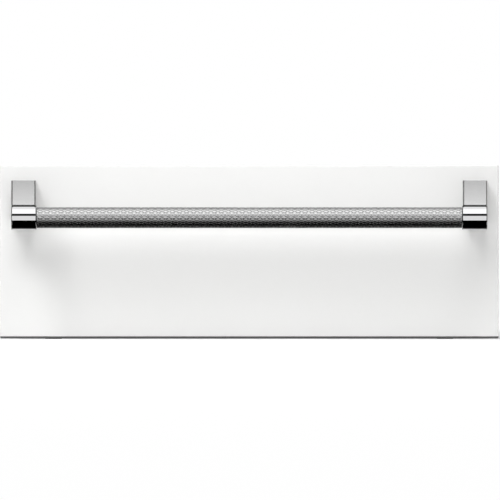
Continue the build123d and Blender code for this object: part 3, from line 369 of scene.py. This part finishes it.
# Feet and front seal.
# Four pads under the base pan, and the seal behind the drawer front. All are moulded in black
# rubber, matte, with a fine sandy skin.
rubber = Finish("black_rubber", Specular_IOR_Level=0.35)
dark_rubber = (0.022, 0.022, 0.023, 1)
worn_rubber = (0.055, 0.054, 0.053, 1)
sand = rubber.noise(rubber.place(), scale=900.0, detail=3.0)
rubber.feed("Base Color", rubber.mix(sand, dark_rubber, worn_rubber))
rubber.feed("Roughness", sand * 0.2 + 0.62)
rubber.relief(sand, depth=0.0001)
rubber.on("feet", "front_seal")

# Screws, rivets, bolts and backing plates.
# Steel, plated with zinc to a bluish tone. Fine turning marks show on the heads.
plated = Finish("zinc_hardware", Metallic=1.0)
dull_plating = (0.48, 0.5, 0.53, 1)
bright_plating = (0.72, 0.73, 0.74, 1)
turning = plated.noise(plated.place(), scale=1400.0, detail=3.0)
plated.feed("Base Color", plated.mix(turning, dull_plating, bright_plating))
plated.feed("Roughness", turning * 0.18 + 0.22)
plated.relief(turning, depth=0.00003)
plated.on("chassis_screws", "slide_rivets", "drawer_rivets", "drawer_screws")
plated.on("handle_bolts", "handle_backings")


# Front frame, cavity liner, element brackets, drawer rails, tub, front liner and vent slider.
# Folded or pressed from stainless sheet, which has a long fine grain. The grain runs along the
# sheet that a piece is cut from.
def stainless(name, stretch, dark, pale, roughness):
    steel = Finish(name, Metallic=1.0)
    grain = steel.noise(steel.stretched(*stretch), scale=40.0, detail=5.0, roughness=0.65)
    smear = steel.noise(steel.place(), scale=6.0, detail=3.0)
    tone = grain * 0.75 + smear * 0.35 - 0.05
    steel.feed("Base Color", steel.mix(tone, grey(dark), (pale, pale, pale * 0.99, 1)))
    steel.feed("Roughness", grain * 0.16 + smear * 0.1 + roughness)
    steel.relief(grain, depth=0.00002, strength=0.6)
    return steel


long_grain = stainless("stainless_sheet", (1.0, 40.0, 40.0), dark=0.5, pale=0.68, roughness=0.2)
long_grain.on("front_frame", "liner_floor", "liner_roof", "liner_rear", "front_liner")
long_grain.on("drawer_rail_back", "vent_slider", "element_brackets")
deep_grain = stainless("stainless_side", (40.0, 1.0, 40.0), dark=0.5, pale=0.66, roughness=0.22)
deep_grain.on("liner_left", "liner_right", "drawer_rail_left", "drawer_rail_right")
pressed = stainless("pressed_steel", (3.0, 1.0, 14.0), dark=0.58, pale=0.72, roughness=0.2)
pressed.on("drawer_tub")

# Insulation.
# Blankets of yellowish mineral wool, matted and soft, that fill the casing and the drawer front.
wool = Finish("mineral_wool", Roughness=0.97, Specular_IOR_Level=0.1)
deep_wool = (0.36, 0.31, 0.17, 1)
pale_wool = (0.86, 0.8, 0.6, 1)
strands = wool.noise(wool.stretched(1.0, 3.0, 6.0), scale=160.0, detail=8.0, roughness=0.7)
lumps = wool.noise(wool.place(), scale=22.0, detail=3.0)
wool.feed("Base Color", wool.mix(strands * 0.7 + lumps * 0.4, deep_wool, pale_wool))
wool.relief(strands + lumps, depth=0.0012)
wool.on("insulation_blankets", "front_insulation")

# Heating element and temperature sensor.
# Tubes of nickel alloy that have gone brown and grey from heat. The element is one bent tube.
sheath = Finish("element_sheath", Metallic=1.0)
browned = (0.12, 0.105, 0.1, 1)
greyed = (0.36, 0.33, 0.31, 1)
heat = sheath.noise(sheath.place(), scale=14.0, detail=4.0)
scale = sheath.noise(sheath.place(), scale=500.0, detail=4.0)
sheath.feed("Base Color", sheath.mix(heat * 1.1, browned, greyed))
sheath.feed("Roughness", scale * 0.25 + 0.38)
sheath.relief(scale, depth=0.00004)
sheath.on("heating_element", "temperature_sensor")

# Thermal cut-out, terminal block, supply gland and control fascia.
# Black heat resistant plastic, moulded with a fine spark texture.
moulding = Finish("black_plastic", Specular_IOR_Level=0.45)
deep_black = (0.02, 0.02, 0.021, 1)
spark_black = (0.045, 0.045, 0.047, 1)
spark = moulding.noise(moulding.place(), scale=1600.0, detail=2.0)
moulding.feed("Base Color", moulding.mix(spark, deep_black, spark_black))
moulding.feed("Roughness", spark * 0.16 + 0.4)
moulding.relief(spark, depth=0.00006)
moulding.on("thermal_cutout", "terminal_block", "supply_gland", "control_fascia")

# Display window.
# A dark tinted lens that lies in the fascia, with a hard gloss.
lens = Finish("smoked_glass", Roughness=0.06, Coat_Weight=0.5, Coat_Roughness=0.03)
deep_tint = (0.008, 0.009, 0.011, 1)
thin_tint = (0.018, 0.02, 0.024, 1)
haze = lens.noise(lens.place(), scale=60.0, detail=3.0)
lens.feed("Base Color", lens.mix(haze, deep_tint, thin_tint))
lens.on("display_window")

# Keys.
# Four dark grey plastic keys with a low gloss, two on each side of the display. A plain pale dot
# is printed in the middle of each.
keys = Finish("button_gloss", Coat_Weight=0.25, Coat_Roughness=0.2)
dark_key = (0.05, 0.05, 0.054, 1)
worn_key = (0.08, 0.08, 0.085, 1)
dot_ink = (0.7, 0.7, 0.68, 1)
dot_radius = 0.0011
inner_low, inner_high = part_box("button_warmer")
outer_low, outer_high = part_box("button_timer")
inner_key = (inner_low + inner_high) / 2
outer_key = (outer_low + outer_high) / 2
key_grain = keys.noise(keys.place(), scale=1500.0, detail=2.0)
key_side, _, key_up = keys.axes(keys.place())
from_key_pair = abs(abs(key_side) - (inner_key.x + outer_key.x) / 2)
across_key = from_key_pair - (outer_key.x - inner_key.x) / 2
up_key = key_up - inner_key.z
dot = across_key * across_key + up_key * up_key < dot_radius * dot_radius
keys.feed("Base Color", keys.mix(dot, keys.mix(key_grain, dark_key, worn_key), dot_ink))
keys.feed("Roughness", key_grain * 0.15 + 0.28)
keys.relief(key_grain, depth=0.00003)
keys.on("button_power", "button_cooler", "button_warmer", "button_timer")

# Control board and power board.
# Green solder mask over copper tracks. What stands on the power board is dark moulded plastic.
boards = Finish("board_green", Specular_IOR_Level=0.5)
mask_green = (0.012, 0.1, 0.035, 1)
track_green = (0.05, 0.3, 0.11, 1)
black_parts = (0.02, 0.02, 0.022, 1)
slate_parts = (0.16, 0.17, 0.2, 1)
upright = (math.radians(90), 0, 0)
tracks = boards.put(
    "ShaderNodeTexBrick",
    {"offset": 0.5},
    {
        "Vector": boards.put(
            "ShaderNodeMapping", {}, {"Vector": boards.place(), "Rotation": upright}
        ),
        "Scale": 90.0,
        "Mortar Size": 0.06,
        "Mortar Smooth": 0.2,
    },
    out="Fac",
)
power_low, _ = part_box("power_board")
standoffs_and_board = 0.0096
hair = 0.0002
_, board_depth, _ = boards.axes(boards.place())
on_parts = board_depth > power_low.y + standoffs_and_board + hair
parts_tone = boards.noise(boards.place(), scale=30.0, detail=1.0)
solder_colour = boards.mix(tracks, mask_green, track_green)
parts_colour = boards.mix(parts_tone, black_parts, slate_parts)
boards.feed("Base Color", boards.mix(on_parts, solder_colour, parts_colour))
boards.feed("Roughness", parts_tone * 0.2 + 0.28)
boards.relief(tracks, depth=0.00006)
boards.on("power_board", "control_board")

# Wiring loom.
# Heat resistant braided sleeves, laid with a fine weave along each lead.
sleeve = Finish("cable_sleeve", Specular_IOR_Level=0.35)
dark_braid = grey(0.07)
pale_braid = (0.2, 0.2, 0.19, 1)
weave = sleeve.put(
    "ShaderNodeTexWave",
    {"wave_type": "BANDS", "bands_direction": "DIAGONAL"},
    {"Vector": sleeve.place(), "Scale": 420.0, "Distortion": 1.5},
    out="Fac",
)
sleeve.feed("Base Color", sleeve.mix(weave, dark_braid, pale_braid))
sleeve.feed("Roughness", weave * 0.2 + 0.6)
sleeve.relief(weave, depth=0.00015)
sleeve.on("wiring_loom")

# Telescopic slides and ball cages.
# Cold rolled members with a zinc coat and the dull film of grease that the balls run in.
rolled = Finish("slide_steel", Metallic=1.0)
dull_slide = (0.46, 0.48, 0.5, 1)
bright_slide = (0.7, 0.71, 0.73, 1)
rolling = rolled.noise(rolled.stretched(30.0, 1.0, 30.0), scale=30.0, detail=4.0)
film = rolled.noise(rolled.place(), scale=18.0, detail=4.0)
rolled.feed("Base Color", rolled.mix(rolling * 0.7 + film * 0.3, dull_slide, bright_slide))
rolled.feed("Roughness", film * 0.25 + 0.18)
rolled.relief(rolling, depth=0.00002)
rolled.on("slide_outer_left", "slide_outer_right", "slide_middle_left", "slide_middle_right")
rolled.on("slide_inner_left", "slide_inner_right", "outer_ball_cages", "inner_ball_cages")

# Balls.
# Bearing balls of hard steel, ground and polished, that roll in the slides' cages.
ground = Finish("bearing_steel", Metallic=1.0)
dull_ball = (0.62, 0.62, 0.63, 1)
bright_ball = (0.74, 0.74, 0.75, 1)
grind = ground.noise(ground.place(), scale=900.0, detail=2.0)
ground.feed("Base Color", ground.mix(grind, dull_ball, bright_ball))
ground.feed("Roughness", grind * 0.06 + 0.08)
ground.on("outer_balls", "inner_balls")

# Wire rack.
# Steel wires, welded where they cross and then plated bright. The plating ripples a little.
plating = Finish("chrome_wire", Metallic=1.0)
dull_wire = (0.6, 0.6, 0.61, 1)
bright_wire = (0.78, 0.78, 0.79, 1)
ripple = plating.noise(plating.place(), scale=120.0, detail=3.0)
plating.feed("Base Color", plating.mix(ripple, dull_wire, bright_wire))
plating.feed("Roughness", ripple * 0.1 + 0.1)
plating.relief(ripple, depth=0.00005)
plating.on("wire_rack")

# Drawer front.
# One folded steel skin with baked white paint: smooth, with the slightest orange peel. A band
# along the bottom edge is painted dark grey, as painted shade.
paint = Finish("white_paint", Roughness=0.32, Coat_Weight=0.35, Coat_Roughness=0.12)
thin_paint = (0.9, 0.9, 0.89, 1)
full_paint = (0.925, 0.925, 0.917, 1)
painted_bottom_shade = grey(0.115)
painted_shade_band = 0.0032
peel = paint.noise(paint.place(), scale=260.0, detail=2.0)
drift = paint.noise(paint.place(), scale=3.0, detail=2.0)
_, _, up_front = paint.axes(paint.place())
# Painted shade: the lowest few millimetres of the front are painted dark grey.
in_painted_bottom_shade = up_front < face_low.z + painted_shade_band
coat = paint.mix(drift, thin_paint, full_paint)
paint.feed("Base Color", paint.mix(in_painted_bottom_shade, coat, painted_bottom_shade))
paint.relief(peel, depth=0.00003, strength=0.5)
paint.on("front_skin")

# Handle posts.
# Square blocks of stainless steel, brushed from top to bottom and bolted through the front. They
# are painted a little brighter near the bar, as painted light, and their upright edges are
# painted dark, as painted reflections.
brushed = Finish("brushed_post", Metallic=1.0)
post_low, post_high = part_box("handle_post_right")
post_middle = (post_low.x + post_high.x) / 2
half_post = (post_high.x - post_low.x) / 2
painted_edge_width = 0.0016
painted_dim_top = grey(0.68)
painted_bright_bottom = grey(1.0)
painted_edge_reflection = grey(0.33)
painted_far_left_reflection = grey(0.08)
stroke = brushed.noise(
    brushed.stretched(1.0, 1.0, 0.02), scale=1500.0, detail=4.0, roughness=0.7
)
wide_stroke = brushed.noise(brushed.stretched(1.0, 1.0, 0.02), scale=320.0, detail=2.0)
post_side, _, post_up = brushed.axes(brushed.place())
# Painted light: the face is painted brighter from its top down towards the bar.
down_post = (post_high.z - post_up) / (post_high.z - post_low.z)
stroke_and_painted_light = down_post * 1.45 + stroke * 0.14 + wide_stroke * 0.1
face_tone_with_painted_light = brushed.mix(stroke_and_painted_light, painted_dim_top, painted_bright_bottom)
# Painted reflections: the upright edges are painted darker, the far left edge darkest.
on_painted_edge = abs(abs(post_side) - post_middle) > half_post - painted_edge_width
far_left = post_side < painted_edge_width - post_high.x
painted_edge_tone = brushed.mix(far_left, painted_edge_reflection, painted_far_left_reflection)
brushed.feed("Base Color", brushed.mix(on_painted_edge, face_tone_with_painted_light, painted_edge_tone))
brushed.feed("Roughness", stroke * 0.12 + 0.18)
brushed.relief(stroke, depth=0.00002, strength=0.5)
brushed.on("handle_post_left", "handle_post_right")

# Handle end caps.
# Turned from bar and polished: each holds the end of the bar and is bolted to its post. A line
# under the post and the rims are painted dark as painted shade, and a band low down on the
# barrel is painted dark as a painted reflection of the floor.
polished = Finish("polished_metal", Metallic=1.0)
cap_low, cap_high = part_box("handle_cap_left")
cap_radius = (cap_high.z - cap_low.z) / 2
half_cap = (cap_high.x - cap_low.x) / 2
cap_middle = abs(cap_low.x + cap_high.x) / 2
bar_low, bar_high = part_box("handle_bar")
bar_radius = (bar_high.z - bar_low.z) / 2
bar_axis = Vector((0, (bar_low.y + bar_high.y) / 2, (bar_low.z + bar_high.z) / 2))
painted_rim_width = 0.0011
barrel_margin = 0.0013
cool_polish = (0.95, 0.95, 0.96, 1)
full_polish = (0.99, 0.99, 1.0, 1)
painted_rim_shade = grey(0.1)


def about_bar(finish):
    """How far a point is from the bar's axis, and how high above it."""
    offset = finish.vectors("SUBTRACT", finish.place(), bar_axis)
    reach = finish.vectors("LENGTH", finish.vectors("MULTIPLY", offset, (0, 1, 1)), out=1)
    _, _, height = finish.axes(offset)
    return reach, height


# Height above the axis in cap radii, and the painted shade there: a painted reflection low down
# and a painted shadow line under the post.
cap_painted_bands = [
    (-0.91, 0.95),
    (-0.904, 0.03),
    (-0.6, 0.03),
    (-0.59, 1.0),
    (0.85, 1.0),
    (0.855, 0.02),
]
cap_reach, cap_height = about_bar(polished)
painted_reflection_bands = polished.ramp(
    cap_height / cap_radius * 0.5 + 0.5, [(height / 2 + 0.5, shade) for height, shade in cap_painted_bands]
)
polish = polished.noise(polished.stretched(1.0, 20.0, 20.0), scale=30.0, detail=3.0)
bright_metal = polished.mix(polish, cool_polish, full_polish)
cap_side, _, _ = polished.axes(polished.place())
# Painted shade: the rims at the cap's ends are painted dark.
on_painted_rim = abs(abs(cap_side) - cap_middle) > half_cap - painted_rim_width
barrel_with_painted_shade = polished.times(polished.mix(on_painted_rim, bright_metal, painted_rim_shade), painted_reflection_bands)
on_barrel = cap_reach > cap_radius - barrel_margin
polished.feed("Base Color", polished.mix(on_barrel, bright_metal, barrel_with_painted_shade))
polished.feed("Roughness", polish * 0.02 + 0.02)
polished.on("handle_cap_left", "handle_cap_right")

# Handle bar.
# A steel tube, knurled between the caps with two staggered sets of long diamonds, each with a flat
# top and sloping flanks. Each end is turned down to a plain spigot, which sits in its cap.
diamonds_round = 21
diamonds_along = 61
knurl_depth = 0.00026
flank_width = 0.0007
cap_gap = 0.0003
spigot_radius = 0.0108
spigot_chamfer = 0.0006
merge_distance = 0.00002
valley_radius = bar_radius - knurl_depth
knurl_length = 2 * abs(cap_high.x + cap_gap)
spigot_length = bar_high.x - knurl_length / 2 - 2 * spigot_chamfer
diamond_length = knurl_length / diamonds_along
tolerance = diamond_length / 9

# One row of squares along the bar, spun round its axis.
bpy.ops.object.select_all(action="DESELECT")
bpy.ops.mesh.primitive_grid_add(
    x_subdivisions=diamonds_along, y_subdivisions=1, size=1, location=(0, 0, 0)
)
bar = bpy.context.object
bar.name = "knurled_bar"
bpy.ops.object.mode_set(mode="EDIT")
bpy.ops.mesh.select_mode(type="VERT")
bpy.ops.mesh.select_all(action="DESELECT")
bpy.ops.object.mode_set(mode="OBJECT")
for corner in bar.data.vertices:
    corner.select = corner.co.y > 0
bpy.ops.object.mode_set(mode="EDIT")
bpy.ops.mesh.delete(type="VERT")
bpy.ops.mesh.select_all(action="SELECT")
bpy.ops.transform.resize(value=(knurl_length, 1, 1))
bpy.ops.transform.translate(value=(0, 0.5 + bar_axis.y - valley_radius, bar_axis.z))
bpy.ops.mesh.spin(
    steps=diamonds_round, angle=2 * math.pi, center=bar_axis, axis=(1, 0, 0)
)
bpy.ops.mesh.select_all(action="SELECT")
bpy.ops.mesh.remove_doubles(threshold=merge_distance)
bpy.ops.mesh.normals_make_consistent(inside=False)

# Each square is poked to its middle, and its own sides are dissolved, which leaves diamonds.
bpy.ops.mesh.select_mode(type="FACE")
bpy.ops.mesh.select_all(action="SELECT")
bpy.ops.mesh.poke(offset=valley_radius * (1 - math.cos(math.pi / diamonds_round)))
bpy.ops.mesh.select_mode(type="EDGE")
bpy.ops.mesh.select_all(action="DESELECT")
bpy.ops.object.mode_set(mode="OBJECT")
for edge in bar.data.edges:
    first, second = (bar.data.vertices[k].co for k in edge.vertices)
    along = abs(first.x - second.x)
    at_end = abs(first.x) > knurl_length / 2 - tolerance and along < tolerance
    edge.select = (along < tolerance or along > diamond_length - tolerance) and not at_end
bpy.ops.object.mode_set(mode="EDIT")
bpy.ops.mesh.dissolve_edges(use_verts=False)
bpy.ops.mesh.select_mode(type="FACE")
bpy.ops.mesh.select_all(action="SELECT")
bpy.ops.mesh.inset(
    thickness=flank_width, depth=knurl_depth, use_individual=True, use_even_offset=True
)

# The open ends are closed, and each end face is drawn out into a spigot.
bpy.ops.mesh.select_mode(type="EDGE")
bpy.ops.mesh.select_all(action="DESELECT")
bpy.ops.mesh.select_non_manifold()
bpy.ops.mesh.edge_face_add()
bpy.ops.mesh.select_mode(type="FACE")
bpy.ops.mesh.select_all(action="DESELECT")
bpy.ops.object.mode_set(mode="OBJECT")
for face in bar.data.polygons:
    at_end = abs(face.center.x) > knurl_length / 2 - tolerance
    face.select = at_end and abs(face.normal.x) > 0.99
bpy.ops.object.mode_set(mode="EDIT")
bpy.ops.mesh.inset(thickness=valley_radius - spigot_radius, depth=0.0)
bpy.ops.mesh.extrude_region_shrink_fatten(TRANSFORM_OT_shrink_fatten={"value": spigot_length})
bpy.ops.mesh.inset(thickness=spigot_chamfer, depth=spigot_chamfer)
bpy.ops.object.mode_set(mode="OBJECT")

# The bar's colour carries painted shade: darker underneath and in the grooves.
knurled = Finish("knurled_metal", Metallic=1.0)
dull_cut = grey(0.8)
bright_cut = grey(1.0)
painted_groove_shade = grey(0.42)
groove_share = 0.82
# Height above the axis, from 0 at the bottom of the bar to 1 at its top, and the painted shade
# there: dark underneath, brightest high up, a little darker on top.
bar_painted_shades = [
    (0.0, 0.05),
    (0.12, 0.12),
    (0.35, 0.5),
    (0.55, 0.95),
    (0.8, 1.0),
    (0.89, 0.7),
    (1.0, 0.6),
]
bar_reach, bar_height = about_bar(knurled)
painted_bar_shade = knurled.ramp(bar_height / bar_radius * 0.5 + 0.5, bar_painted_shades)
cut = knurled.noise(knurled.place(), scale=1200.0, detail=2.0)
cut_with_painted_groove_shade = knurled.mix(cut, dull_cut, bright_cut)
# Painted shade: the grooves between the diamonds are painted darker.
in_groove = bar_reach < bar_radius - groove_share * knurl_depth
cut_with_painted_groove_shade = knurled.mix(in_groove, cut_with_painted_groove_shade, painted_groove_shade)
knurled.feed("Base Color", knurled.times(cut_with_painted_groove_shade, painted_bar_shade))
knurled.feed("Roughness", cut * 0.06 + 0.2)
knurled.cover(bar)
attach(bar, "drawer")
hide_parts("handle_bar")
